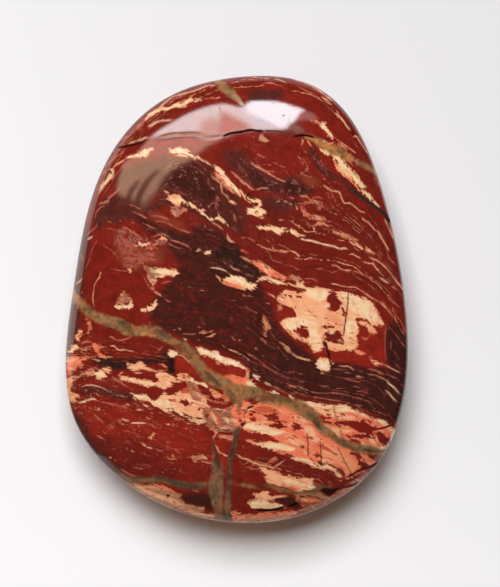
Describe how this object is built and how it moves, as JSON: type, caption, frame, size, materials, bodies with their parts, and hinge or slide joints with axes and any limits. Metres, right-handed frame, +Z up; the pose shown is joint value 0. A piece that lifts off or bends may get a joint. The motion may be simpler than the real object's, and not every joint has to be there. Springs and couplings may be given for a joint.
{
  "type": "polished jasper pebble",
  "caption": "Polished red jasper pebble, a flattened egg shape with a domed face and rounded rim, resting on a small flat spot.",
  "frame": {"origin": "on the flat resting spot, under the middle of the stone's length and width", "axes": "+Z up out of the domed face, +Y along the length towards the narrow end, +X across the width"},
  "size_m": [0.0334, 0.0439, 0.01],
  "materials": {
    "polished_jasper": "polished, brick red and maroon with cream, salmon and olive veins"
  },
  "bodies": {
    "root": {"stone": "polished_jasper"}
  },
  "joints": []
}
